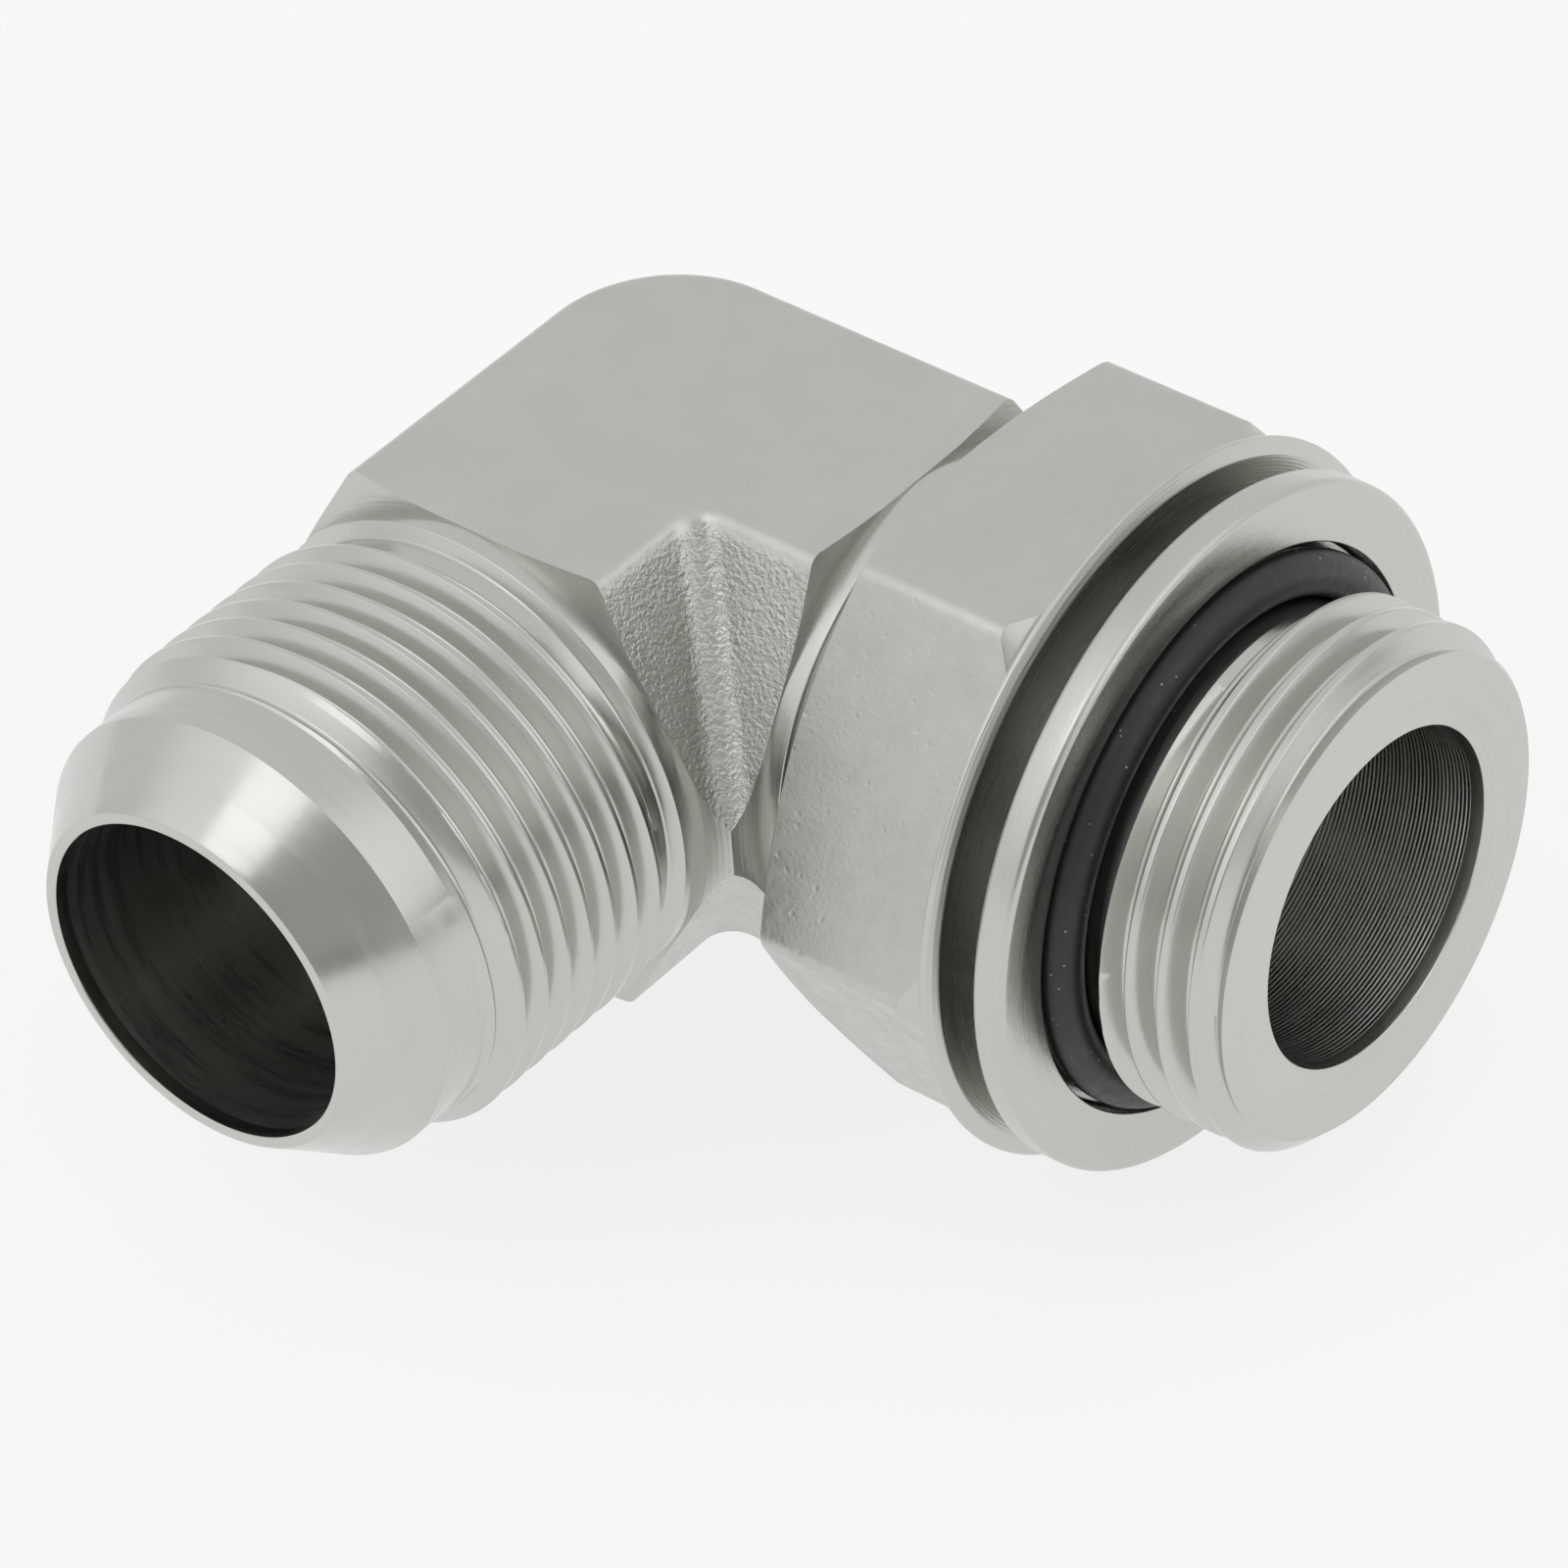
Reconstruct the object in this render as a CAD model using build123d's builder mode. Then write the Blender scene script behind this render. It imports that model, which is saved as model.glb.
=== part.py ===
from build123d import *
from math import cos, radians, tan
import os

os.makedirs("parts", exist_ok=True)

# Elbow adapter, all sizes in mm.
# The axes of the two legs cross at the origin. The flare leg points along -Y,
# the adjustable stud leg along +X, and the flats of the forged block face up and down.
# A "reach" is a distance from the origin along the axis of a leg.

# Forged block
block_across_flats = 33.0
draft_angle = 30.0
block_reach = 19.1
heel_radius_at_flat = 8.5
heel_radius_at_parting = 16.0
crotch_radius = 2.0
forged_edge_chamfer = 0.4
facing_angle = 13.0
facing_start_radius = 16.9

# Both turned legs
bore_diameter = 21.8
drill_point_angle = 118.0
bore_overrun = 2.0
collar_radius = 16.4
collar_length = 1.3
collar_step_length = 0.5
relief_diameter = 31.0

# Flare leg: 1 5/16-12 thread between a relief and a plain pilot, then a 37 degree cone
flare_reach = 46.0
flare_thread_diameter = 33.34
flare_relief_width = 0.9
flare_thread_run_out = 1.1
flare_thread_lead_in = 1.7
flare_pilot_diameter = 30.6
flare_pilot_length = 3.5
flare_cone_angle = 37.0
nose_rim_width = 0.75

# Stud leg: G1 parallel thread with a groove for the ring and the seal
stud_thread_diameter = 33.25
stud_thread_chamfer = 0.8
groove_setback = 0.5
groove_width = 6.2
groove_diameter = 29.8
stud_front_length = 8.8
stud_end_chamfer = 1.15

# Lock nut
nut_gap = 2.4
nut_length = 13.6
nut_across_flats = 41.0
nut_corner_radius = 1.2
nut_turn = 1.0
nut_rear_chamfer_angle = 24.0
nut_front_chamfer_length = 1.6
nut_front_chamfer_depth = 1.3
flange_diameter = 46.1
flange_thickness = 0.7
flange_bevel_width = 1.0
flange_bevel_length = 0.4
nut_bore_clearance = 0.05
nut_bore_chamfer = 0.8

# Retaining ring and seal
ring_gap = 2.3
ring_thickness = 2.3
ring_rim_width = 3.9
ring_edge_chamfer = 0.35
ring_bore_clearance = 0.1
recess_depth = 1.6
recess_clearance = 0.4
seal_section = 2.9
seal_sides = 16
seal_clearance = 0.05

# Worked-out sizes of the block and the bores
half_flats = block_across_flats / 2
block_corner = half_flats / cos(radians(30))
taper_run = half_flats * tan(radians(draft_angle))
bore_radius = bore_diameter / 2
drill_point_length = bore_radius / tan(radians(drill_point_angle / 2))
relief_radius = relief_diameter / 2
collar_end = block_reach + collar_length
relief_start = collar_end + collar_step_length

# Worked-out places along the flare leg
flare_radius = flare_thread_diameter / 2
pilot_radius = flare_pilot_diameter / 2
nose_radius = bore_radius + nose_rim_width
cone_base = flare_reach - (pilot_radius - nose_radius) / tan(radians(flare_cone_angle))
flare_thread_end = cone_base - flare_pilot_length - flare_thread_lead_in
flare_relief_end = relief_start + flare_relief_width

# Worked-out places along the stud leg, from the block outwards
stud_radius = stud_thread_diameter / 2
groove_radius = groove_diameter / 2
nut_rear = relief_start + nut_gap
nut_front = nut_rear + nut_length
groove_start = nut_front + groove_setback
groove_end = groove_start + groove_width
stud_reach = groove_end + stud_front_length
ring_rear = nut_front + ring_gap
ring_front = ring_rear + ring_thickness
recess_floor = ring_front - recess_depth
seal_radius = groove_radius + seal_clearance + seal_section / 2
recess_radius = seal_radius + seal_section / 2 + recess_clearance
ring_radius = recess_radius + ring_rim_width
seal_reach = recess_floor + seal_clearance + seal_section / 2

# Elbow body: a forging of hexagonal section, bent square at the heel, with both ends turned
with BuildPart() as elbow_body:
    # Plans of the bent block at the parting plane and at its top flat, both past the sawn ends
    plan_reach = block_corner + 2 * crotch_radius
    for level, half_width, heel_radius in (
        (0, block_corner, heel_radius_at_parting),
        (half_flats, block_corner - taper_run, heel_radius_at_flat),
    ):
        with BuildSketch(Plane.XY.offset(level)) as plan:
            with BuildLine():
                Polyline(
                    (-half_width, -plan_reach),
                    (half_width, -plan_reach),
                    (half_width, -half_width),
                    (plan_reach, -half_width),
                    (plan_reach, half_width),
                    (-half_width, half_width),
                    close=True,
                )
            make_face()
            fillet(plan.vertices().sort_by_distance((half_width, -half_width))[0], crotch_radius)
            fillet(plan.vertices().sort_by_distance((-half_width, half_width))[0], heel_radius)
    loft(ruled=True)
    # The rounded edge of the forging, as one narrow slanted face
    top_outline = elbow_body.faces().sort_by(Axis.Z)[-1].edges()
    chamfer(top_outline, forged_edge_chamfer)
    mirror(about=Plane.XY)

    # Saw both ends off, then face their corners to a slight cone
    with BuildSketch() as ends:
        with Locations((0, -block_reach)):
            Rectangle(4 * block_corner, plan_reach, align=(Align.CENTER, Align.MAX))
        with Locations((block_reach, 0)):
            Rectangle(plan_reach, 4 * block_corner, align=(Align.MIN, Align.CENTER))
    extrude(ends.sketch, amount=block_corner, both=True, mode=Mode.SUBTRACT)
    facing_rim = block_corner + 1
    facing_drop = (facing_rim - facing_start_radius) * tan(radians(facing_angle))
    for facing_axis, turn in ((Axis.Y, -90), (Axis.X, 0)):
        with BuildSketch(Plane.XY.rotated((0, 0, turn))) as facing:
            with BuildLine():
                Polyline(
                    (block_reach, facing_start_radius),
                    (block_reach - facing_drop, facing_rim),
                    (block_reach + 1, facing_rim),
                    (block_reach + 1, facing_start_radius),
                    close=True,
                )
            make_face()
        revolve(facing.sketch, axis=facing_axis, mode=Mode.SUBTRACT)

    # Flare leg, turned
    with BuildSketch(Plane.XY.rotated((0, 0, -90))) as flare_profile:
        with BuildLine():
            Polyline(
                (0, 0),
                (0, collar_radius),
                (collar_end, collar_radius),
                (relief_start, relief_radius),
                (flare_relief_end, relief_radius),
                (flare_relief_end + flare_thread_run_out, flare_radius),
                (flare_thread_end, flare_radius),
                (flare_thread_end + flare_thread_lead_in, pilot_radius),
                (cone_base, pilot_radius),
                (flare_reach, nose_radius),
                (flare_reach, 0),
                close=True,
            )
        make_face()
    revolve(flare_profile.sketch, axis=Axis.Y)

    # Stud leg, turned
    with BuildSketch() as stud_profile:
        with BuildLine():
            Polyline(
                (0, 0),
                (0, collar_radius),
                (collar_end, collar_radius),
                (relief_start, relief_radius),
                (relief_start + stud_thread_chamfer, stud_radius),
                (groove_start - stud_thread_chamfer, stud_radius),
                (groove_start, groove_radius),
                (groove_end, groove_radius),
                (groove_end + stud_thread_chamfer, stud_radius),
                (stud_reach - stud_end_chamfer, stud_radius),
                (stud_reach, stud_radius - stud_end_chamfer),
                (stud_reach, 0),
                close=True,
            )
        make_face()
    revolve(stud_profile.sketch, axis=Axis.X)

    # Drill both legs until the holes open into each other
    for bore_axis, turn, reach in ((Axis.Y, -90, flare_reach), (Axis.X, 0, stud_reach)):
        with BuildSketch(Plane.XY.rotated((0, 0, turn))) as bore:
            with BuildLine():
                Polyline(
                    (reach, 0),
                    (reach, bore_radius),
                    (-bore_overrun, bore_radius),
                    (-bore_overrun - drill_point_length, 0),
                    close=True,
                )
            make_face()
        revolve(bore.sketch, axis=bore_axis, mode=Mode.SUBTRACT)
elbow_body.part.label = "elbow_body"
export_step(elbow_body.part, "parts/elbow_body.step")

# Lock nut: a hexagon chamfered at both ends, with a thin round flange at the front
with BuildPart() as lock_nut:
    hex_front = nut_front - flange_thickness
    half_nut_flats = nut_across_flats / 2
    nut_corner = half_nut_flats / cos(radians(30))
    rear_drop = (nut_corner - half_nut_flats) * tan(radians(nut_rear_chamfer_angle))
    with BuildSketch(Plane.YZ.offset(nut_rear)) as hexagon:
        RegularPolygon(half_nut_flats, 6, major_radius=False, rotation=nut_turn)
        fillet(hexagon.vertices(), nut_corner_radius)
    extrude(amount=hex_front - nut_rear)
    with BuildSketch() as turned_outline:
        with BuildLine():
            Polyline(
                (nut_rear, 0),
                (nut_rear, half_nut_flats),
                (nut_rear + rear_drop, nut_corner),
                (hex_front - nut_front_chamfer_length, nut_corner),
                (hex_front, nut_corner - nut_front_chamfer_depth),
                (hex_front, 0),
                close=True,
            )
        make_face()
    revolve(turned_outline.sketch, axis=Axis.X, mode=Mode.INTERSECT)
    with BuildSketch() as flange:
        with BuildLine():
            Polyline(
                (hex_front, 0),
                (hex_front, flange_diameter / 2),
                (nut_front - flange_bevel_length, flange_diameter / 2),
                (nut_front, flange_diameter / 2 - flange_bevel_width),
                (nut_front, 0),
                close=True,
            )
        make_face()
    revolve(flange.sketch, axis=Axis.X)
    nut_bore_radius = stud_radius + nut_bore_clearance
    with BuildSketch() as nut_hole:
        with BuildLine():
            Polyline(
                (nut_rear, 0),
                (nut_rear, nut_bore_radius + nut_bore_chamfer),
                (nut_rear + nut_bore_chamfer, nut_bore_radius),
                (nut_front - nut_bore_chamfer, nut_bore_radius),
                (nut_front, nut_bore_radius + nut_bore_chamfer),
                (nut_front, 0),
                close=True,
            )
        make_face()
    revolve(nut_hole.sketch, axis=Axis.X, mode=Mode.SUBTRACT)
lock_nut.part.label = "lock_nut"
export_step(lock_nut.part, "parts/lock_nut.step")

# Retaining ring: a washer with worn edges and a recess that holds the seal
with BuildPart() as retaining_ring:
    ring_bore_radius = groove_radius + ring_bore_clearance
    with BuildSketch() as ring_section:
        with BuildLine():
            Polyline(
                (ring_rear, ring_bore_radius),
                (ring_rear, ring_radius),
                (ring_front, ring_radius),
                (ring_front, recess_radius),
                (recess_floor, recess_radius),
                (recess_floor, ring_bore_radius),
                close=True,
            )
        make_face()
        chamfer(ring_section.vertices().group_by(Axis.Y)[-1], ring_edge_chamfer)
    revolve(ring_section.sketch, axis=Axis.X)
retaining_ring.part.label = "retaining_ring"
export_step(retaining_ring.part, "parts/retaining_ring.step")

# Seal: an O-ring in the recess, around the groove of the stud; its round section has narrow flat sides
with BuildPart() as o_ring:
    with BuildSketch() as seal:
        with Locations((seal_reach, seal_radius)):
            RegularPolygon(seal_section / 2, seal_sides)
    revolve(seal.sketch, axis=Axis.X)
o_ring.part.label = "o_ring"
export_step(o_ring.part, "parts/o_ring.step")
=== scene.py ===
# %% [markdown]
# # A forged elbow adapter
#
# The object is a steel pipe fitting: a forged block bent through 90 degrees, with a flared
# and threaded leg on one side and an adjustable stud leg on the other. The CAD frame gives
# the place of everything. Here every surface is worked out anew with its threads, its worn
# edges and its finish, in the same frame.
#
# Such a part could also be made by modelling over the CAD solids with bevels and booleans.
# Working the surfaces out as functions gives every edge its own rounding, keeps the threads
# true helices, and leaves one closed mesh for each stretch that a machine made in one go.

import bmesh
import bpy
import numpy as np
from mathutils import Matrix, Vector


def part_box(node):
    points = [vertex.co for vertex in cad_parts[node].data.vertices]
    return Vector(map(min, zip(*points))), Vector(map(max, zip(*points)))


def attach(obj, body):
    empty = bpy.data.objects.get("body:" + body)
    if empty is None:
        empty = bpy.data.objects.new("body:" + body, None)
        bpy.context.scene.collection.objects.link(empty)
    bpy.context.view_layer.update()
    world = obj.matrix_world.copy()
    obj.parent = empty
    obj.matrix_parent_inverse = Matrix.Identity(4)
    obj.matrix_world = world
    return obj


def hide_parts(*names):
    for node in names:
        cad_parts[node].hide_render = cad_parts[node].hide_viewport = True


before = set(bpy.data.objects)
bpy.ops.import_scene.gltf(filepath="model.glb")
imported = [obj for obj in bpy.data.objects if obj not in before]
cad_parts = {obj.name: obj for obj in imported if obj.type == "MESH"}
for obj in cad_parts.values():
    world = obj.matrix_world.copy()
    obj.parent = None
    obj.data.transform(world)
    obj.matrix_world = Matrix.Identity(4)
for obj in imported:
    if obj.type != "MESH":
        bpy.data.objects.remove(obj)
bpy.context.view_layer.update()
scene = bpy.context.scene
scene.view_settings.view_transform = "Standard"
MM = 0.001

# %% [markdown]
# ## Sizes
#
# All sizes are in millimetres, in the CAD frame. The axes of the two legs cross at the
# origin. The flare leg points along -Y and the stud leg along +X. Sizes that the frame
# can give are read from its boxes, so that they follow the CAD.

# %% Sizes of the block and of both legs
body_low, body_high = (np.array(corner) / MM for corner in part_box("elbow_body"))
nut_low, nut_high = (np.array(corner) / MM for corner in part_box("lock_nut"))
ring_low, ring_high = (np.array(corner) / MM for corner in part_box("retaining_ring"))
seal_low, seal_high = (np.array(corner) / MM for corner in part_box("o_ring"))

flare_reach = -body_low[1]
stud_reach = body_high[0]
block_reach = 19.1
block_half_flats = 16.5
block_corner = block_half_flats / np.cos(np.pi / 6)
block_flat_half_width = block_corner / 2
bore_radius = 10.9
bore_rim_depth = 1.0
drill_overrun = 2.0
collar_radius = 16.4
collar_round = 0.12
collar_end = block_reach + 1.3
relief_start = collar_end + 0.5
relief_radius = 15.5
print("flare leg reaches", round(flare_reach, 2), "and stud leg", round(stud_reach, 2))

# %% [markdown]
# ## From a grid of points to a mesh
#
# Nearly every surface here is a function of two parameters. A whole array of points, rows
# along one parameter and columns along the other, becomes a mesh in one call. Points that
# fall together, as where a thread fades into a plain ring, are merged afterwards, which
# also closes the seam. Sharp edges are then found by their angle, so that turned corners
# stay crisp and rounded ones smooth. A Screw modifier would also turn an outline, but it
# can't let a thread run out on a chamfer.

# %% Grid to mesh
merge_distance = 0.0005
sliver_length = 0.0002


def grid_faces(rows, columns):
    """Corner numbers of the quads of a grid whose corner (i, j) has the number i * columns + j.

    A quad joins (i, j), (i, j+1), (i+1, j+1) and (i+1, j). Where a surface closes on itself
    its last row or column repeats the first, and merging the points joins them.
    """
    i = np.arange(rows - 1)[:, None]
    j = np.arange(columns - 1)[None, :]
    corner = i * columns + j
    quads = (corner, corner + 1, corner + columns + 1, corner + columns)
    return np.stack(quads, axis=-1).reshape(-1, 4)


def signed_volume(points, quads):
    """Volume inside the quads: a sixth of the sum of a . (b x c) over their triangles."""
    a, b, c, d = (points[quads[:, k]] for k in range(4))
    first = np.einsum("ij,ij->i", a, np.cross(b, c))
    second = np.einsum("ij,ij->i", a, np.cross(c, d))
    return (first.sum() + second.sum()) / 6


def build_piece(name, grids, materials, sharp_angle=28.0):
    """Make one closed mesh of several grids of points in mm, merged, with outward faces.

    Each grid is a pair: an array of rows x columns x 3, and the number of its material.
    """
    points, quads, finish, offset = [], [], [], 0
    for grid, number in grids:
        rows, columns = grid.shape[:2]
        faces = grid_faces(rows, columns) + offset
        points.append(grid.reshape(-1, 3))
        quads.append(faces)
        finish.append(np.full(len(faces), number, np.int32))
        offset += rows * columns
    points, quads, finish = (np.concatenate(part) for part in (points, quads, finish))
    if signed_volume(points, quads) < 0:
        quads = quads[:, ::-1]
    mesh = bpy.data.meshes.new(name)
    mesh.from_pydata((points * MM).tolist(), [], quads.tolist())
    for material in materials:
        mesh.materials.append(material)
    mesh.polygons.foreach_set("material_index", finish)
    bm = bmesh.new()
    bm.from_mesh(mesh)
    bmesh.ops.remove_doubles(bm, verts=bm.verts, dist=merge_distance * MM)
    bmesh.ops.dissolve_degenerate(bm, edges=bm.edges, dist=sliver_length * MM)
    for face in bm.faces:
        face.smooth = True
    open_edges = sum(1 for edge in bm.edges if not edge.is_manifold)
    bm.to_mesh(mesh)
    bm.free()
    mesh.set_sharp_from_angle(angle=np.radians(sharp_angle))
    piece = bpy.data.objects.new(name, mesh)
    scene.collection.objects.link(piece)
    print(name, len(mesh.polygons), "faces,", open_edges, "open edges")
    return piece


# %% [markdown]
# ## Turned outlines and threads
#
# A lathe leaves corners that are never quite sharp, and a thin round along each edge is
# what catches the light. So an outline is a list of corners, each with its own radius.
# A thread is the same outline carried along a helix: the rows of its grid run along the
# helix, so that the crest is one unbroken line. Where the leg ends, the rows are held at
# the end, and the lower of thread and turned outline gives the radius. Cutting the helix
# out of a plain cylinder with a boolean would leave thin slivers at both run-outs.

# %% Outline with rounded corners
columns_around = 320
turn = np.linspace(0, 2 * np.pi, columns_around + 1)
largest_half_turn = 1.4
largest_side_share = 0.45


def rounded(corners, turns=turn, arc_steps=3):
    """Rows of reach and radius through corners (reach, radius, rounding), rounded by small arcs.

    The arc touches both sides at the distance rounding * tan(half the turn) from its corner,
    cut to a share of the shorter side. Reach and radius may differ from turn to turn.
    """
    shape = (len(corners), len(turns), 2)
    spots = np.empty(shape)
    for row, corner in enumerate(corners):
        spots[row, :, 0], spots[row, :, 1] = corner[0], corner[1]
    rows = [spots[0]]
    for row in range(1, len(corners) - 1):
        spot = spots[row]
        back, ahead = spots[row - 1] - spot, spots[row + 1] - spot
        back_length = np.maximum(np.linalg.norm(back, axis=-1, keepdims=True), 1e-9)
        ahead_length = np.maximum(np.linalg.norm(ahead, axis=-1, keepdims=True), 1e-9)
        back, ahead = back / back_length, ahead / ahead_length
        cosine = np.clip(np.sum(back * ahead, axis=-1, keepdims=True), -1, 1)
        half_turn = (np.pi - np.arccos(cosine)) / 2
        touch = corners[row][2] * np.tan(np.minimum(half_turn, largest_half_turn))
        touch = np.minimum(touch, largest_side_share * np.minimum(back_length, ahead_length))
        if corners[row][2] == 0:
            rows.append(spot)
            continue
        weight = np.cos(half_turn)
        for t in np.linspace(0, 1, arc_steps + 1):
            first, middle, last = (1 - t) ** 2, 2 * weight * t * (1 - t), t**2
            blended = first * (spot + touch * back) + middle * spot + last * (spot + touch * ahead)
            rows.append(blended / (first + middle + last))
    rows.append(spots[-1])
    rows = np.array(rows)
    return rows[..., 0], rows[..., 1]


# %% Thread profile and helical rows
def thread_profile(pitch, crest, root, flank_angle, crest_half_width, crest_round, root_round):
    """One pitch of a thread, crest in the middle: arrays of distance along and of radius.

    From the crest's flat a small arc leads into the flank, which falls 1 / tan(flank angle)
    for each millimetre along, and a larger arc leads into the root.
    """
    slope = np.radians(flank_angle)
    turn_down = np.pi / 2 - slope
    root_corner = crest_half_width + (crest - root) * np.tan(slope)
    crest_centre = crest_half_width - crest_round * np.tan(turn_down / 2)
    root_centre = root_corner + root_round * np.tan(turn_down / 2)
    down = np.linspace(0, turn_down, 5)
    along = np.concatenate([[0], crest_centre + crest_round * np.sin(down),
                            root_centre - root_round * np.sin(down[::-1])])
    radius = np.concatenate([[crest], crest - crest_round * (1 - np.cos(down)),
                             root + root_round * (1 - np.cos(down[::-1]))])
    print("thread root is flat for", round(pitch - 2 * root_centre, 3), "mm")
    return np.concatenate([-along[:0:-1], along]), np.concatenate([radius[:0:-1], radius])


def helical_rows(roof, bed, profile, pitch, crest_at):
    """Rows along a right-hand helix: reach = row + pitch * turn / (2 pi), radius = profile.

    The reach is held between the ends of the roof. The radius stays under the roof, which
    is the blank's outline, and above the bed, which lifts the root where a thread runs out.
    """
    roof, bed = np.array(roof, float), np.array(bed, float)
    start, end = roof[0, 0], roof[-1, 0]
    first = np.floor((start - crest_at) / pitch) - 2
    last = np.ceil((end - crest_at) / pitch) + 1
    along, radius = profile
    crests = crest_at + pitch * np.arange(first, last + 1)
    row_reach = (crests[:, None] + along[None, :]).ravel()
    row_radius = np.tile(radius, len(crests))
    reach = np.clip(row_reach[:, None] + pitch * turn[None, :] / (2 * np.pi), start, end)
    lifted = np.maximum(row_radius[:, None], np.interp(reach, bed[:, 0], bed[:, 1]))
    return reach, np.minimum(lifted, np.interp(reach, roof[:, 0], roof[:, 1]))


def on_flare_leg(reach, radius, turns=turn):
    """Place reach, radius and turn about -Y: (radius cos turn, -reach, radius sin turn)."""
    return np.stack([radius * np.cos(turns), -reach, radius * np.sin(turns)], axis=-1)


def on_stud_leg(reach, radius, turns=turn):
    """Place reach, radius and turn about +X: (reach, radius cos turn, radius sin turn)."""
    return np.stack([reach, radius * np.cos(turns), radius * np.sin(turns)], axis=-1)


# %% [markdown]
# ## Finishes
#
# Everything but the seal is steel with a thin, slightly olive zinc plating. What differs is
# the skin under it: shot-blasted forging, drawn bar on the flats of the nut, and surfaces
# that were turned, whose feed marks run around the axis. The marks follow reach plus
# radius, so that one formula gives lines around a cylinder and circles on a face. Painted
# pictures would need unwrapping and would stretch on the cone, so the marks are worked out
# from object coordinates turned into millimetres.

# %% Helpers for node trees
def place(tree, kind, values=None, **settings):
    """Add a node, set its properties, and give each input a constant or a link."""
    node = tree.nodes.new(kind)
    for key, value in settings.items():
        setattr(node, key, value)
    for key, value in (values or {}).items():
        if isinstance(value, bpy.types.NodeSocket):
            tree.links.new(value, node.inputs[key])
        else:
            node.inputs[key].default_value = value
    return node


def calculate(tree, operation, first, second=0.0, third=0.0):
    """One step of arithmetic on numbers."""
    values = {0: first, 1: second, 2: third}
    return place(tree, "ShaderNodeMath", values, operation=operation).outputs[0]


def remap(tree, value, low, high, new_low, new_high):
    """Value from low to high turned smoothly into new_low to new_high."""
    values = {"Value": value, "From Min": low, "From Max": high,
              "To Min": new_low, "To Max": new_high}
    return place(tree, "ShaderNodeMapRange", values, interpolation_type="SMOOTHSTEP").outputs[0]


def tint(tree, factor, dark, light):
    """Colour between dark and light."""
    values = {0: factor, 6: (*dark, 1), 7: (*light, 1)}
    return place(tree, "ShaderNodeMix", values, data_type="RGBA").outputs[2]


def vector_step(tree, operation, values, output=0):
    """One step of arithmetic on vectors."""
    return place(tree, "ShaderNodeVectorMath", values, operation=operation).outputs[output]


def noise(tree, vector, scale, detail=2.0, roughness=0.5):
    """Soft random numbers around 0.5, with about scale bumps for each unit of the vector."""
    values = {"Vector": vector, "Scale": scale, "Detail": detail, "Roughness": roughness}
    return place(tree, "ShaderNodeTexNoise", values).outputs[0]


def bump(tree, height, depth_mm, normal=None):
    """Tilt the normal as if height 0 to 1 were a relief depth_mm deep."""
    values = {"Height": height, "Distance": depth_mm * MM, "Strength": 1.0}
    if normal:
        values["Normal"] = normal
    return place(tree, "ShaderNodeBump", values).outputs[0]


def start_material(name):
    """A new material: its tree, its shader and the object coordinates in millimetres."""
    material = bpy.data.materials.new(name)
    material.use_nodes = True
    tree = material.node_tree
    shader = tree.nodes["Principled BSDF"]
    spot = place(tree, "ShaderNodeTexCoord").outputs["Object"]
    return material, tree, shader, vector_step(tree, "SCALE", {0: spot, "Scale": 1 / MM})


changes_around = 1.5


def turned_coordinates(tree, spot_mm, leg):
    """Reach plus radius in mm, and a vector that changes fast along it and slowly around."""
    keep = {"flare": (1, 0, 1), "stud": (0, 1, 1)}[leg]
    axis = {"flare": (0, -1, 0), "stud": (1, 0, 0)}[leg]
    across = vector_step(tree, "MULTIPLY", {0: spot_mm, 1: keep})
    radius = vector_step(tree, "LENGTH", {0: across}, "Value")
    reach = vector_step(tree, "DOT_PRODUCT", {0: spot_mm, 1: axis}, "Value")
    path = calculate(tree, "ADD", reach, radius)
    outward = vector_step(tree, "NORMALIZE", {0: across})
    slow = vector_step(tree, "SCALE", {0: outward, "Scale": changes_around})
    fast = place(tree, "ShaderNodeCombineXYZ", {0: path, 1: path, 2: path}).outputs[0]
    return path, vector_step(tree, "ADD", {0: slow, 1: fast})


# %% Finish of the forging and of the nut's flats
plating_dark = (0.53, 0.535, 0.5)
plating_light = (0.625, 0.632, 0.595)
grain_per_mm = 3.1
pits_per_mm = 0.85
polish_patches_per_mm = 0.9
plating_clouds_per_mm = 0.22
slant_ends_at, level_starts_at = 15.2, 16.3


def grained_steel(name, coarse, fine, pit_depth, roughness):
    """Steel with a grain coarse mm deep on slanted faces and fine mm deep on level ones.

    Level faces are told by their height, between slant_ends_at and level_starts_at mm.
    """
    material, tree, shader, spot = start_material(name)
    height = place(tree, "ShaderNodeSeparateXYZ", {0: spot}).outputs["Z"]
    height = calculate(tree, "ABSOLUTE", height)
    level = remap(tree, height, slant_ends_at, level_starts_at, 0.0, 1.0)
    depth = remap(tree, level, 0.0, 1.0, coarse, fine)
    grain = noise(tree, spot, grain_per_mm, 2.0, 0.55)
    pit_cells = {"Vector": spot, "Scale": pits_per_mm}
    cells = place(tree, "ShaderNodeTexVoronoi", pit_cells).outputs["Distance"]
    pits = remap(tree, cells, 0.05, 0.22, 0.0, 1.0)
    relief = calculate(tree, "MULTIPLY", grain, depth)
    relief = calculate(tree, "MULTIPLY_ADD", pits, pit_depth, relief)
    shader.inputs["Metallic"].default_value = 1.0
    clouds = noise(tree, spot, plating_clouds_per_mm, 3.0, 0.6)
    polish = noise(tree, spot, polish_patches_per_mm)
    dull = remap(tree, polish, 0.3, 0.7, roughness - 0.06, roughness + 0.06)
    tree.links.new(tint(tree, clouds, plating_dark, plating_light), shader.inputs["Base Color"])
    tree.links.new(dull, shader.inputs["Roughness"])
    tree.links.new(bump(tree, relief, 1.0), shader.inputs["Normal"])
    return material


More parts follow.
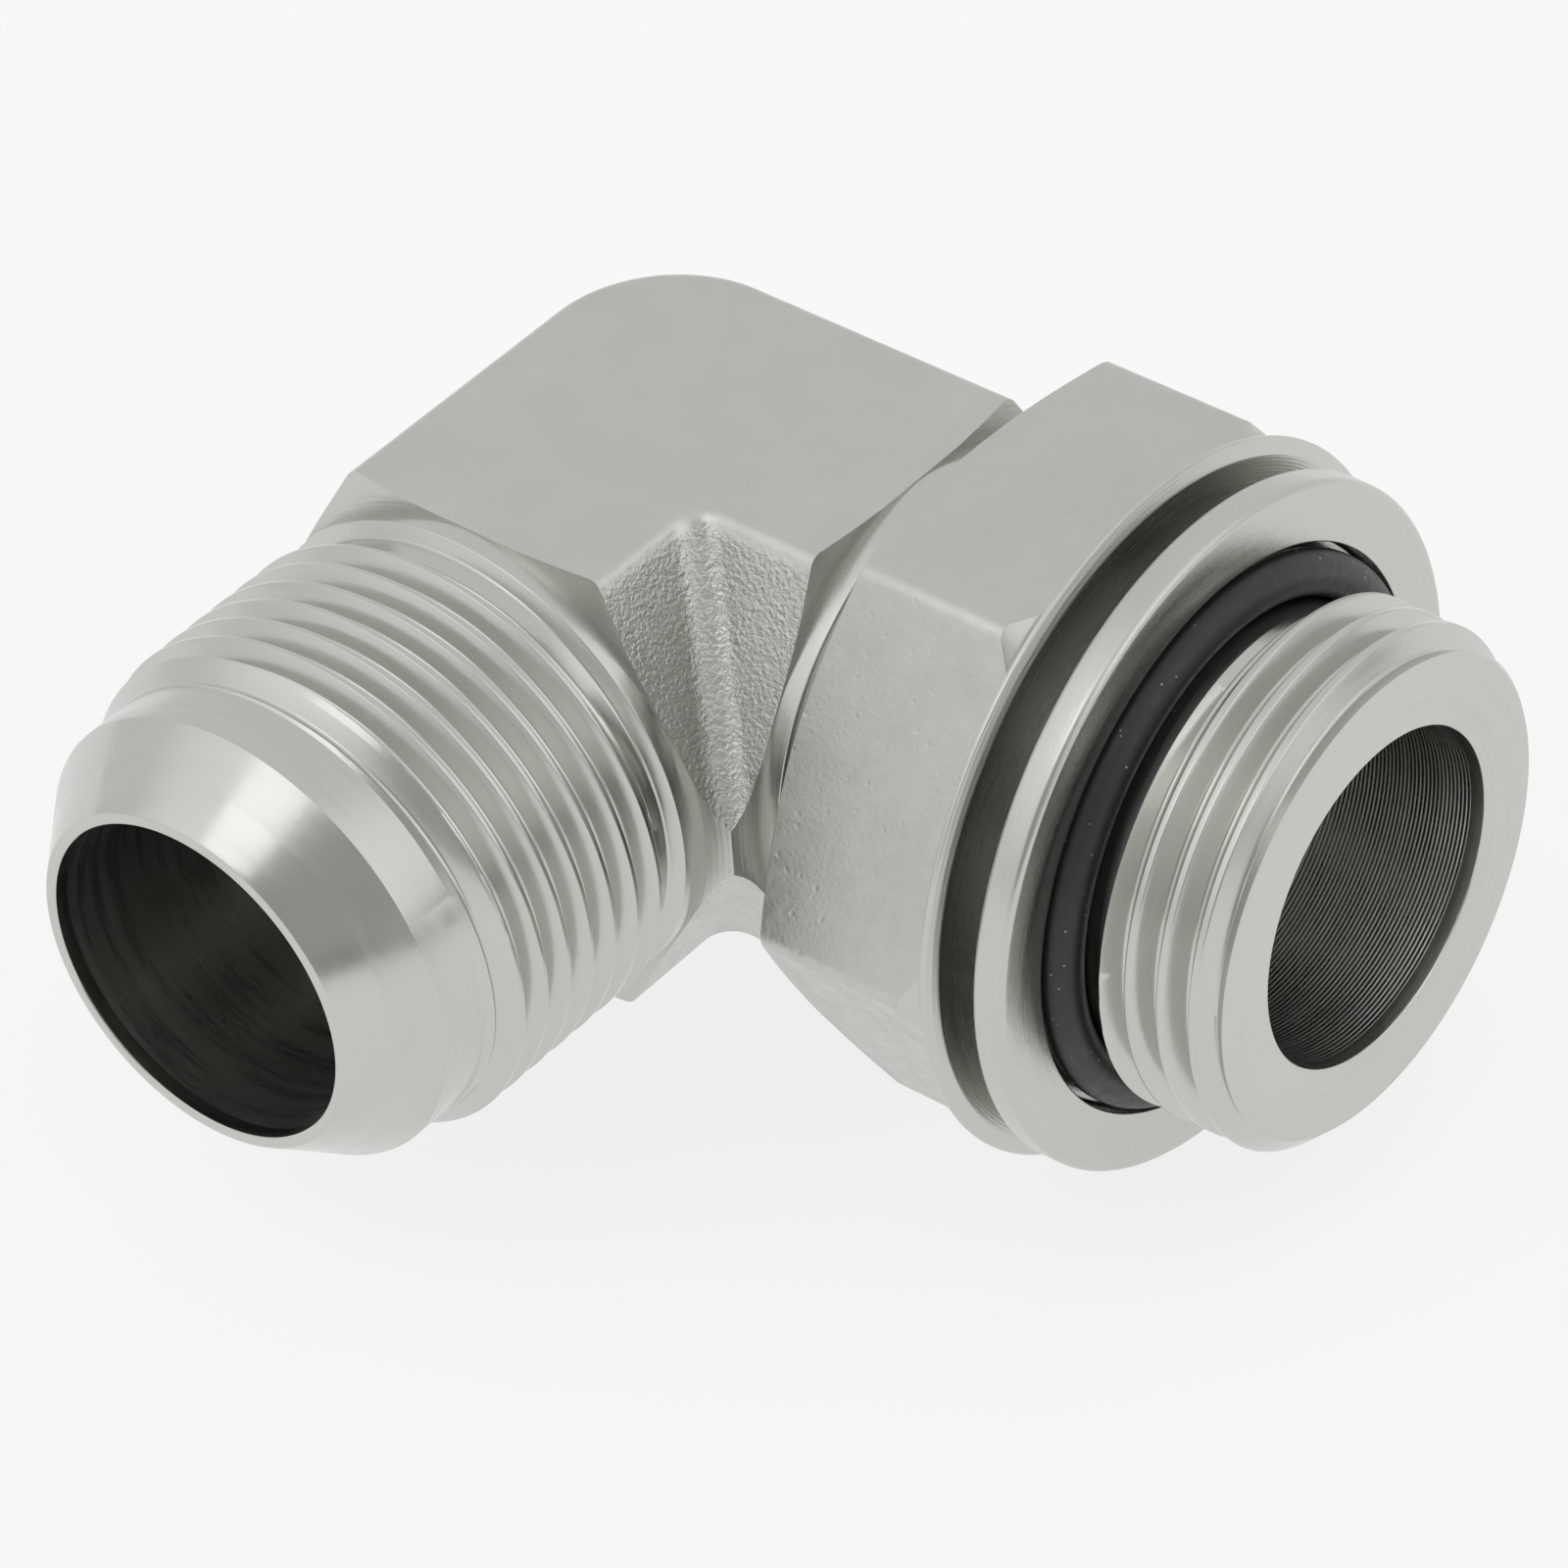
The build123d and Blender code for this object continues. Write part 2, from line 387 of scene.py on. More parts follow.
forged_steel = grained_steel(
    "forged_steel", coarse=0.11, fine=0.016, pit_depth=0.004, roughness=0.34)
nut_flat_steel = grained_steel(
    "nut_flat_steel", coarse=0.02, fine=0.02, pit_depth=0.016, roughness=0.36)
print("grained finishes:", forged_steel.name, nut_flat_steel.name)


# %% Finish of the turned surfaces
scratches_per_mm = 7.0
mottle_per_mm = 1.6
feed_clouds_per_mm = 0.8


def turned_steel(name, leg, feed, feed_depth, scratch_depth, roughness, mottle=0.0):
    """Steel turned on a lathe: feed marks every feed mm, scratches around, and a soft mottle."""
    material, tree, shader, spot = start_material(name)
    path, around = turned_coordinates(tree, spot, leg)
    waves = calculate(tree, "SINE", calculate(tree, "MULTIPLY", path, 2 * np.pi / feed))
    scratches = noise(tree, around, scratches_per_mm, 2.0, 0.7)
    mottling = noise(tree, spot, mottle_per_mm, 2.0)
    relief = calculate(tree, "MULTIPLY", waves, feed_depth / 2)
    relief = calculate(tree, "MULTIPLY_ADD", scratches, scratch_depth, relief)
    relief = calculate(tree, "MULTIPLY_ADD", mottling, mottle, relief)
    shader.inputs["Metallic"].default_value = 1.0
    cloud = noise(tree, around, feed_clouds_per_mm, 3.0, 0.6)
    dull = remap(tree, cloud, 0.35, 0.65, roughness - 0.04, roughness + 0.05)
    tree.links.new(tint(tree, cloud, plating_dark, plating_light), shader.inputs["Base Color"])
    tree.links.new(dull, shader.inputs["Roughness"])
    tree.links.new(bump(tree, relief, 1.0), shader.inputs["Normal"])
    return material


flare_turned = turned_steel("flare_turned", "flare", feed=0.35, feed_depth=0.0006,
                            scratch_depth=0.003, roughness=0.22, mottle=0.004)
flare_cone_steel = turned_steel("flare_cone_steel", "flare", feed=0.21, feed_depth=0.002,
                                scratch_depth=0.0015, roughness=0.16)
flare_bored = turned_steel("flare_bored", "flare", feed=0.25, feed_depth=0.004,
                           scratch_depth=0.004, roughness=0.3)
stud_turned = turned_steel("stud_turned", "stud", feed=0.35, feed_depth=0.0006,
                           scratch_depth=0.003, roughness=0.22, mottle=0.004)
stud_bored = turned_steel("stud_bored", "stud", feed=0.28, feed_depth=0.03,
                          scratch_depth=0.006, roughness=0.26)
nut_turned_steel = turned_steel("nut_turned", "stud", feed=0.22, feed_depth=0.004,
                                scratch_depth=0.006, roughness=0.24)
ring_steel = turned_steel("ring_steel", "stud", feed=0.4, feed_depth=0.0006,
                          scratch_depth=0.006, roughness=0.26, mottle=0.012)
print(len(bpy.data.materials), "finishes so far")


# %% Finish of the seal
rubber_black = (0.022, 0.022, 0.02)
dust_grey = (0.3, 0.3, 0.28)
specks_per_mm = 1.1
bloom_per_mm = 1.4


def rubber(name):
    """Near-black rubber with a grey bloom and a few specks of dust."""
    material, tree, shader, spot = start_material(name)
    speck_cells = {"Vector": spot, "Scale": specks_per_mm}
    cells = place(tree, "ShaderNodeTexVoronoi", speck_cells).outputs["Distance"]
    dust = remap(tree, cells, 0.06, 0.1, 1.0, 0.0)
    bloom = noise(tree, spot, bloom_per_mm, 4.0, 0.65)
    tree.links.new(tint(tree, dust, rubber_black, dust_grey), shader.inputs["Base Color"])
    tree.links.new(remap(tree, bloom, 0.3, 0.7, 0.36, 0.5), shader.inputs["Roughness"])
    tree.links.new(bump(tree, bloom, 0.02), shader.inputs["Normal"])
    return material


seal_rubber = rubber("seal_rubber")

# %% [markdown]
# ## The flare leg
#
# On the real part this leg is turned from the forging in one setting: collar, relief,
# thread, pilot and the 37 degree cone that a flared tube is pressed on, then the bore. The
# thread is a 1 5/16-12, so its pitch is 25.4 / 12 mm. Its crests run out on the relief
# ramp at one end and on the lead-in chamfer at the other. The leg is a stack of grids that
# share their end rows, one for each tool that made a stretch of it.

# %% Flare leg
flare_pitch = 25.4 / 12
flare_crest = 16.67
flare_root = 15.4
flare_crest_at = 23.05
run_out, shallow_run_out = 1.1, 0.6
lead_in = 1.7
pilot_radius = 15.3
pilot_length = 3.5
nose_radius = 11.65
cone_angle = 37
cone_base = flare_reach - (pilot_radius - nose_radius) / np.tan(np.radians(cone_angle))
lead_in_end = cone_base - pilot_length
thread_start = relief_start + 0.9
cone_middle = (0.5 * (cone_base + flare_reach), 0.5 * (pilot_radius + nose_radius), 0)

flare_foot = rounded([
    (block_reach, bore_radius, 0),
    (block_reach, collar_radius, 0),
    (collar_end, collar_radius, collar_round),
    (relief_start, relief_radius, 0.25),
    (thread_start, relief_radius, 0),
])
flare_thread = helical_rows(
    [(thread_start, relief_radius), (thread_start + run_out, flare_crest),
     (lead_in_end - lead_in, flare_crest), (lead_in_end, pilot_radius)],
    [(thread_start, relief_radius), (thread_start + shallow_run_out, flare_root),
     (lead_in_end, flare_root)],
    thread_profile(flare_pitch, flare_crest, flare_root, flank_angle=30,
                   crest_half_width=0.16, crest_round=0.09, root_round=0.27),
    flare_pitch, flare_crest_at)
flare_pilot = rounded([
    (lead_in_end, pilot_radius, 0),
    (cone_base, pilot_radius, 0.15),
    cone_middle,
])
flare_cone = rounded([
    cone_middle,
    (flare_reach, nose_radius, 0.18),
    (flare_reach, bore_radius, 0.12),
    (flare_reach - bore_rim_depth, bore_radius, 0),
])
flare_bore = rounded([
    (flare_reach - bore_rim_depth, bore_radius, 0),
    (block_reach, bore_radius, 0),
])
flare_leg = build_piece("flare_leg", [
    (on_flare_leg(*flare_foot), 0), (on_flare_leg(*flare_thread), 0),
    (on_flare_leg(*flare_pilot), 0), (on_flare_leg(*flare_cone), 1),
    (on_flare_leg(*flare_bore), 2),
], [flare_turned, flare_cone_steel, flare_bored])

# %% [markdown]
# ## The stud leg
#
# The stud carries a G1 pipe thread, 11 threads to the inch. The nut runs on its rear part.
# A groove without thread takes the ring and the seal, and the front part screws into the
# port. The end is chamfered so that the first thread starts cleanly. Both stretches of
# thread come from one helix, because they are cut in one pass over the groove.

# %% Stud leg
stud_pitch = 25.4 / 11
stud_crest = 16.625
stud_root = 15.2
stud_crest_at = 45.3
groove_start, groove_end, groove_radius = 37.4, 43.6, 14.9
groove_chamfer = 0.8
end_chamfer = 1.15
chamfer_start = stud_reach - end_chamfer
end_radius = stud_crest - end_chamfer
stud_profile = thread_profile(stud_pitch, stud_crest, stud_root, flank_angle=27.5,
                              crest_half_width=0.24, crest_round=0.16, root_round=0.3)

stud_foot = rounded([
    (block_reach, bore_radius, 0),
    (block_reach, collar_radius, 0),
    (collar_end, collar_radius, collar_round),
    (relief_start, relief_radius, 0),
])
rear_thread = helical_rows(
    [(relief_start, relief_radius), (relief_start + groove_chamfer, stud_crest),
     (groove_start - groove_chamfer, stud_crest), (groove_start, groove_radius)],
    [(relief_start, relief_radius), (relief_start + 0.5, stud_root),
     (groove_start, groove_radius)],
    stud_profile, stud_pitch, stud_crest_at)
groove = rounded([(groove_start, groove_radius, 0), (groove_end, groove_radius, 0)])
front_thread = helical_rows(
    [(groove_end, groove_radius), (groove_end + groove_chamfer, stud_crest),
     (chamfer_start, stud_crest), (stud_reach, end_radius)],
    [(groove_end, groove_radius), (groove_end + 0.3, stud_root),
     (stud_reach - 0.8, stud_root), (stud_reach, end_radius)],
    stud_profile, stud_pitch, stud_crest_at)
stud_end = rounded([
    (stud_reach, end_radius, 0),
    (stud_reach, bore_radius, 0.12),
    (stud_reach - bore_rim_depth, bore_radius, 0),
])
stud_bore = rounded([
    (stud_reach - bore_rim_depth, bore_radius, 0),
    (block_reach, bore_radius, 0),
])
stud_leg = build_piece("stud_leg", [
    (on_stud_leg(*stud_foot), 0), (on_stud_leg(*rear_thread), 0),
    (on_stud_leg(*groove), 0), (on_stud_leg(*front_thread), 0),
    (on_stud_leg(*stud_end), 0), (on_stud_leg(*stud_bore), 1),
], [stud_turned, stud_bored])

# %% [markdown]
# ## The forged block
#
# The block is drop-forged: a hexagonal section bent square, with draft towards the parting
# plane, a round heel and a tight crotch. Each side of the section is a rail that follows
# the bend. The two halves meet in the mitre plane x + y = 0 and mirror each other there,
# so only the flare half is worked out. Its ends are sawn, faced and drilled; the drills
# run a little past the middle, and their points leave cones behind the bend. Rails give
# even rows of faces around the bend, which a boolean of two bars with bevelled edges doesn't.

# %% Section of the block
edge_round = 1.1
ridge_round = 0.5
draft = np.tan(np.radians(30))
slant_columns = np.linspace(0, 1, 34)


def corner_arc(before, corner, after, rounding, steps=7):
    """Arc at a corner of the section, touching both sides at rounding * tan(half the turn)."""
    before, corner, after = (np.array(spot, float) for spot in (before, corner, after))
    back = (before - corner) / np.linalg.norm(before - corner)
    ahead = (after - corner) / np.linalg.norm(after - corner)
    half_turn = (np.pi - np.arccos(back @ ahead)) / 2
    touch = rounding * np.tan(half_turn)
    t = np.linspace(0, 1, steps)[:, None]
    first, middle, last = (1 - t) ** 2, 2 * np.cos(half_turn) * t * (1 - t), t**2
    arc = first * (corner + touch * back) + middle * corner + last * (corner + touch * ahead)
    return arc / (first + middle + last)


hexagon = [(block_flat_half_width, block_half_flats), (block_corner, 0),
           (block_flat_half_width, -block_half_flats), (-block_flat_half_width, -block_half_flats),
           (-block_corner, 0), (-block_flat_half_width, block_half_flats)]
roundings = [edge_round, ridge_round, edge_round, edge_round, ridge_round, edge_round]
section = []
for number, rounding in enumerate(roundings):
    arc = corner_arc(hexagon[number - 1], hexagon[number], hexagon[(number + 1) % 6], rounding)
    following = corner_arc(hexagon[number], hexagon[(number + 1) % 6],
                           hexagon[(number + 2) % 6], roundings[(number + 1) % 6])
    section.append(arc)
    section.append(arc[-1] + slant_columns[1:-1, None] * (following[0] - arc[-1]))
section = np.concatenate(section + [section[0][:1]])
across, height = section[:, 0], section[:, 1]
print("section of the block has", len(section), "columns")

# %% Rails of the flare half
facing_start = 16.9
facing_slope = np.tan(np.radians(13))
heel_at_parting, heel_at_flat = 16, 8.5
crotch_radius = 2


def end_reach(radius):
    """Reach of the faced end: that of the block, falling at 13 degrees outside facing_start."""
    return block_reach - np.maximum(0, radius - facing_start) * facing_slope


def rail(distance, half_width, inset, side, level):
    """Place on a rail, a distance from the mitre plane: an eighth of a circle, then straight.

    At the heel (side -1) the circle lies inside the corner, and its radius falls evenly from
    the parting plane to the flat. At the crotch (side 1) it lies outside the corner.
    """
    heel_fall = heel_at_parting - heel_at_flat
    heel = heel_at_parting - heel_fall * np.abs(level) / block_half_flats
    centre = np.where(side < 0, heel - half_width, half_width + crotch_radius)
    radius = np.where(side < 0, heel - inset, crotch_radius + inset)
    angle = np.pi / 4 + np.minimum(distance / radius, np.pi / 4)
    straight = np.maximum(0, distance - radius * np.pi / 4)
    x = centre - radius * np.sin(angle)
    y = -centre + radius * np.cos(angle) - straight
    return x, y


def rail_rows(half_width, inset, side, level, fractions):
    """Rows along rails, from the mitre plane to the faced end, whose distance is found by halving.

    Low in the crotch the two faced ends meet before any forged skin is left. There all rows
    fall on one place of the mitre plane, where the reach equals that of the end.
    """
    low, high = np.zeros_like(half_width), np.full_like(half_width, 60.0)
    for _ in range(50):
        middle = (low + high) / 2
        x, y = rail(middle, half_width, inset, side, level)
        inside = -y < end_reach(np.hypot(x, level))
        low, high = np.where(inside, middle, low), np.where(inside, high, middle)
    x, y = rail(fractions[:, None] * low, half_width, inset, side, level)
    mitre = np.full_like(half_width, 18.5)
    for _ in range(40):
        mitre = end_reach(np.hypot(mitre, level))
    gone = low < 1e-6
    return np.where(gone, mitre, x), np.where(gone, -mitre, y)


# %% Skin of the flare half
side = np.where(across < 0, -1.0, 1.0)
full_width = block_corner - np.abs(height) * draft
inset = np.maximum(full_width - np.abs(across), 0)
fractions = np.concatenate([np.linspace(0, 0.6, 24), np.linspace(0.6, 1, 7)[1:]])
x_rows, y_rows = rail_rows(full_width, inset, side, height, fractions)

touch = edge_round * np.tan(np.radians(30))
level_width = np.full(2, block_flat_half_width)
both_sides = np.array([-1.0, 1.0])
x_edge, y_edge = rail_rows(level_width, np.full(2, touch), both_sides,
                           np.full(2, block_half_flats), fractions)
on_flat = np.abs(across) < block_flat_half_width - touch - 1e-9
flat_half_width = block_flat_half_width - touch
share = np.clip((across + flat_half_width) / (2 * flat_half_width), 0, 1)
x_flat = x_edge[:, :1] * (1 - share) + x_edge[:, 1:] * share
y_flat = y_edge[:, :1] * (1 - share) + y_edge[:, 1:] * share
flat_end = end_reach(np.hypot(x_flat[-1], block_half_flats))
y_flat = y_flat[0] + (y_flat - y_flat[0]) * (flat_end + y_flat[0]) / (y_flat[0] - y_flat[-1])
x_rows, y_rows = np.where(on_flat, x_flat, x_rows), np.where(on_flat, y_flat, y_rows)
skin = np.stack([x_rows, y_rows, np.broadcast_to(height, x_rows.shape)], axis=-1)
print("skin of the flare half has", skin.shape[0], "rows of", skin.shape[1], "points")

# %% Faced end and passage of the flare half
rim_radius = np.hypot(skin[-1, :, 0], height)
rim_turn = np.arctan2(height, skin[-1, :, 0])
face_radius = [np.minimum(rim_radius, r) for r in (facing_start, collar_radius, bore_radius)]
face = np.stack([
    np.stack([r * np.cos(rim_turn), -end_reach(r), r * np.sin(rim_turn)], axis=-1)
    for r in [rim_radius] + face_radius])

wall_x, wall_z = face[-1, :, 0], face[-1, :, 2]
half_point_angle = 59
cone_slope = np.tan(np.radians(half_point_angle))
apex_radius = bore_radius + drill_overrun * cone_slope
cylinder_end = np.minimum(drill_overrun, -wall_x)
root = (apex_radius * cone_slope) ** 2 - (cone_slope**2 - 1) * (apex_radius**2 - wall_z**2)
mitre_reach = (apex_radius * cone_slope - np.sqrt(root)) / (cone_slope**2 - 1)
mitre_reach = np.where(-wall_x > drill_overrun, mitre_reach, -wall_x)
steps = np.linspace(0, 1, 9)[:, None]
wall_y = -block_reach + (cylinder_end + block_reach) * steps
wall = np.stack(np.broadcast_arrays(wall_x, wall_y, wall_z), axis=-1)
point_y = cylinder_end + (mitre_reach - cylinder_end) * steps
point_radius = bore_radius - np.maximum(point_y - drill_overrun, 0) * cone_slope
point_x = np.where(-wall_x > drill_overrun,
                   -np.sqrt(np.maximum(point_radius**2 - wall_z**2, 0)), wall_x)
drill_point = np.stack(np.broadcast_arrays(point_x, point_y, wall_z), axis=-1)
passage = np.concatenate([wall, drill_point])
print("drill point ends", round(drill_overrun + bore_radius / cone_slope, 2), "mm past the middle")


# %% Both halves of the block
def mirrored(grid):
    """The same grid on the stud half: (x, y, z) becomes (-y, -x, z), rows reversed."""
    return np.stack([-grid[..., 1], -grid[..., 0], grid[..., 2]], axis=-1)[::-1]


flare_faced, stud_faced = (
    turned_steel(f"{leg}_faced", leg, feed=0.3, feed_depth=0.003, scratch_depth=0.01, roughness=0.3)
    for leg in ("flare", "stud"))
forged_block = build_piece("forged_block", [
    (skin, 0), (face, 1), (passage, 3),
    (mirrored(passage), 4), (mirrored(face), 2), (mirrored(skin), 0),
], [forged_steel, flare_faced, stud_faced, flare_bored, stud_bored])

# %% [markdown]
# ## The lock nut
#
# A hexagon of drawn bar, 41 mm across its flats, chamfered at both ends on the lathe, so
# that each corner ends in a crescent. Its front carries a thin round flange, turned down
# from the same bar, which pushes on the retaining ring. The hexagon is a radius that varies
# with the turn, and the chamfers are reaches that vary with that radius, so the crescents
# come out by themselves and need no cutting.

# %% Hexagon of the lock nut
nut_rear, nut_front = nut_low[0], nut_high[0]
nut_middle = 0.5 * (nut_rear + nut_front)
flange_thickness = 0.7
hex_front = nut_front - flange_thickness
flange_radius = nut_high[2]
nut_half_flats = 20.5
nut_corner = nut_half_flats / np.cos(np.pi / 6)
nut_corner_round = 1.2
nut_turn = 1.0
nut_bore = 16.675

arc_distance = (nut_half_flats - nut_corner_round) / np.cos(np.pi / 6)
arc_limit = np.arctan2(nut_corner_round / 2, arc_distance + nut_corner_round * np.cos(np.pi / 6))
on_round, on_flat_side = np.linspace(0, arc_limit, 6), np.linspace(arc_limit, np.pi / 6, 22)
half_sector = np.concatenate([on_round, on_flat_side[1:]])
sector = np.concatenate([-half_sector[::-1], half_sector[1:]])
corners = np.arange(6)[:, None] * np.pi / 3 + np.radians(nut_turn)
last_turn = corners[0, 0] + sector[0] + 2 * np.pi
nut_turns = np.concatenate([(corners + sector[:-1]).ravel(), [last_turn]])
from_corner = np.concatenate([np.tile(sector[:-1], 6), sector[:1]])
on_arc = arc_distance * np.cos(from_corner) + np.sqrt(
    np.maximum(nut_corner_round**2 - (arc_distance * np.sin(from_corner)) ** 2, 0))
on_side = nut_half_flats / np.cos(np.pi / 6 - np.abs(from_corner))
hex_radius = np.where(np.abs(from_corner) <= arc_limit + 1e-9, on_arc, on_side)
print("nut is", round(2 * hex_radius.max(), 2), "mm across its rounded corners")

# %% Outline of the lock nut
chamfer_length, chamfer_depth = 1.6, 1.3
rear_slope = np.tan(np.radians(24))
rear_flat_inset = 0.05
bevel_length, bevel_width = 0.4, 1.0
bore_chamfer = 0.8

front_edge = hex_front - chamfer_length + (nut_corner - hex_radius) * chamfer_length / chamfer_depth
front_edge = np.minimum(front_edge, hex_front)
rear_edge = nut_rear + (hex_radius - nut_half_flats) * rear_slope
front_foot = np.minimum(hex_radius, nut_corner - chamfer_depth)
nut_rear_part = rounded([
    (nut_rear, nut_bore + bore_chamfer, 0),
    (nut_rear, nut_half_flats - rear_flat_inset, 0),
    (rear_edge, hex_radius, 0.15),
    (nut_middle, hex_radius, 0),
], nut_turns)
nut_front_part = rounded([
    (nut_middle, hex_radius, 0),
    (front_edge, hex_radius, 0.1),
    (hex_front, front_foot, 0),
    (hex_front, flange_radius, 0.08),
    (nut_front - bevel_length, flange_radius, 0.12),
    (nut_front, flange_radius - bevel_width, 0.12),
    (nut_front, nut_bore + bore_chamfer, 0),
    (nut_front - bore_chamfer, nut_bore, 0),
    (nut_rear + bore_chamfer, nut_bore, 0),
    (nut_rear, nut_bore + bore_chamfer, 0),
], nut_turns)
nut_rear_grid = on_stud_leg(*nut_rear_part, nut_turns)
nut_front_grid = on_stud_leg(*nut_front_part, nut_turns)
nut_piece = build_piece("nut_body", [
    (nut_rear_grid[:3], 1), (nut_rear_grid[2:], 0),
    (nut_front_grid[:3], 0), (nut_front_grid[2:], 1),
], [nut_flat_steel, nut_turned_steel], sharp_angle=20.0)

# %% [markdown]
# ## Retaining ring and seal
#
# The ring is a washer with a recess on its front face. The seal sits in the recess and is
# pressed against the port when the nut pushes the ring forward. Both were handled often,
# so their edges are dulled. Each is one closed outline carried around the axis of the stud.

# %% Ring and seal
ring_rear, ring_front = ring_low[0], ring_high[0]
ring_radius = ring_high[2]
ring_bore, recess_radius, recess_depth = 15.0, 18.25, 1.6
recess_floor = ring_front - recess_depth
worn_edge = 0.5
ring_outline = rounded([
    (recess_floor, ring_bore, 0),
    (ring_rear, ring_bore, 0.2),
    (ring_rear, ring_radius, worn_edge),
    (ring_front, ring_radius, worn_edge),
    (ring_front, recess_radius, 0.15),
    (recess_floor, recess_radius, 0.2),
    (recess_floor, ring_bore, 0),
], arc_steps=5)
ring_piece = build_piece("ring_body", [(on_stud_leg(*ring_outline), 0)], [ring_steel])

seal_centre = 0.5 * (seal_low[0] + seal_high[0])
seal_half = 0.5 * (seal_high[0] - seal_low[0])
seal_mean = seal_high[2] - seal_half
seal_rows = 48
seal_angle = np.linspace(0, 2 * np.pi, seal_rows + 1)[:, None]
seal_reach = seal_centre + seal_half * np.cos(seal_angle) + 0 * turn
seal_distance = seal_mean + seal_half * np.sin(seal_angle) + 0 * turn
seal_piece = build_piece(
    "seal_body", [(on_stud_leg(seal_reach, seal_distance), 0)], [seal_rubber], sharp_angle=60.0)

# %% Bodies, CAD nodes and slots
for piece, body, node, slot in (
    (forged_block, "elbow", "elbow_body", "body_steel"),
    (flare_leg, "elbow", "elbow_body", "body_steel"),
    (stud_leg, "elbow", "elbow_body", "body_steel"),
    (nut_piece, "nut", "lock_nut", "nut_steel"),
    (ring_piece, "ring", "retaining_ring", "ring_steel"),
    (seal_piece, "ring", "o_ring", "seal_rubber"),
):
    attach(piece, body)
    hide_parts(node)

# %% [markdown]
# ## Studio and camera
#
# The photograph is a cut-out from a light tent: pale light from all sides, and a dark
# place where the camera stands, which every shiny surface that faces the camera mirrors.
# The world is that tent, worked out from directions, so that polished steel mirrors soft
# zones as it does in the photograph. Large lamps alone would leave the rest of the mirror
# black. The floor is white for the camera and for mirrored rays, and keeps the shadow.

# %% Camera
azimuth, elevation, roll = np.radians([41.129, 39.597, 3.959])
focal_pixels = 8729.385
picture_size = 1600
sensor_width = 36
origin_pixel = (700.986, 594.258)
origin_depth = 529.081
forward = -np.array([np.sin(azimuth) * np.cos(elevation),
                     -np.cos(azimuth) * np.cos(elevation), np.sin(elevation)])
level_right = np.array([np.cos(azimuth), np.sin(azimuth), 0.0])
level_down = np.cross(forward, level_right)
right = np.cos(roll) * level_right + np.sin(roll) * level_down
down = np.cross(forward, right)
picture_middle = picture_size / 2
offset = [(pixel - picture_middle) / focal_pixels * origin_depth for pixel in origin_pixel]
place_mm = -(right * offset[0] + down * offset[1] + forward * origin_depth)
camera_data = bpy.data.cameras.new("camera")
camera_data.sensor_width = sensor_width
camera_data.lens = focal_pixels * sensor_width / picture_size
camera_data.clip_start = 0.01
camera = bpy.data.objects.new("camera", camera_data)
scene.collection.objects.link(camera)
rotation = Matrix((right, -down, -forward)).transposed()
camera.matrix_world = Matrix.Translation(Vector(place_mm * MM)) @ rotation.to_4x4()
scene.camera = camera
print("camera stands at", np.round(place_mm), "mm, lens", round(camera_data.lens, 1), "mm")

# %% Tent
tent_level = 0.79
left_gain, right_gain = 0.25, 0.3
camera_shade, band_shade = 0.45, 0.4
band_low, band_high = 0.05, 0.2

world = bpy.data.worlds.new("tent")
world.use_nodes = True
scene.world = world
tree = world.node_tree
way = place(tree, "ShaderNodeTexCoord").outputs["Generated"]


def facing(direction, inner, outer):
    """1 for rays within inner degrees of a direction, 0 beyond outer degrees."""
    direction = np.array(direction, float) / np.linalg.norm(direction)
    cosine = vector_step(tree, "DOT_PRODUCT", {0: way, 1: tuple(direction)}, "Value")
    outer_cosine, inner_cosine = np.cos(np.radians([outer, inner]))
    return remap(tree, cosine, outer_cosine, inner_cosine, 0.0, 1.0)


def from_angles(azimuth_degrees, elevation_degrees):
    """Direction at an azimuth, 0 along -Y and 90 along +X, and an elevation."""
    around, up = np.radians([azimuth_degrees, elevation_degrees])
    return np.array([np.sin(around) * np.cos(up), -np.cos(around) * np.cos(up), np.sin(up)])


camera_place = facing(from_angles(36, 26), 20, 36)
dark_side = facing(from_angles(85, 0), 40, 75)
upright = place(tree, "ShaderNodeSeparateXYZ", {0: way}).outputs["Z"]
horizon = remap(tree, calculate(tree, "ABSOLUTE", upright), band_low, band_high, 1.0, 0.0)
dark_band = calculate(tree, "MULTIPLY", horizon, dark_side)
left_glow = facing(from_angles(-30, 48), 8, 45)
right_glow = facing(from_angles(108, 34), 10, 40)
brightness = calculate(tree, "MULTIPLY_ADD", left_glow, left_gain, tent_level)
brightness = calculate(tree, "MULTIPLY_ADD", right_glow, right_gain, brightness)
for zone, shade in ((camera_place, camera_shade), (dark_band, band_shade)):
    kept = calculate(tree, "MULTIPLY_ADD", zone, -shade, 1.0)
    brightness = calculate(tree, "MULTIPLY", brightness, kept)
equal_parts = {0: brightness, 1: brightness, 2: brightness}
grey = place(tree, "ShaderNodeCombineColor", equal_parts).outputs[0]
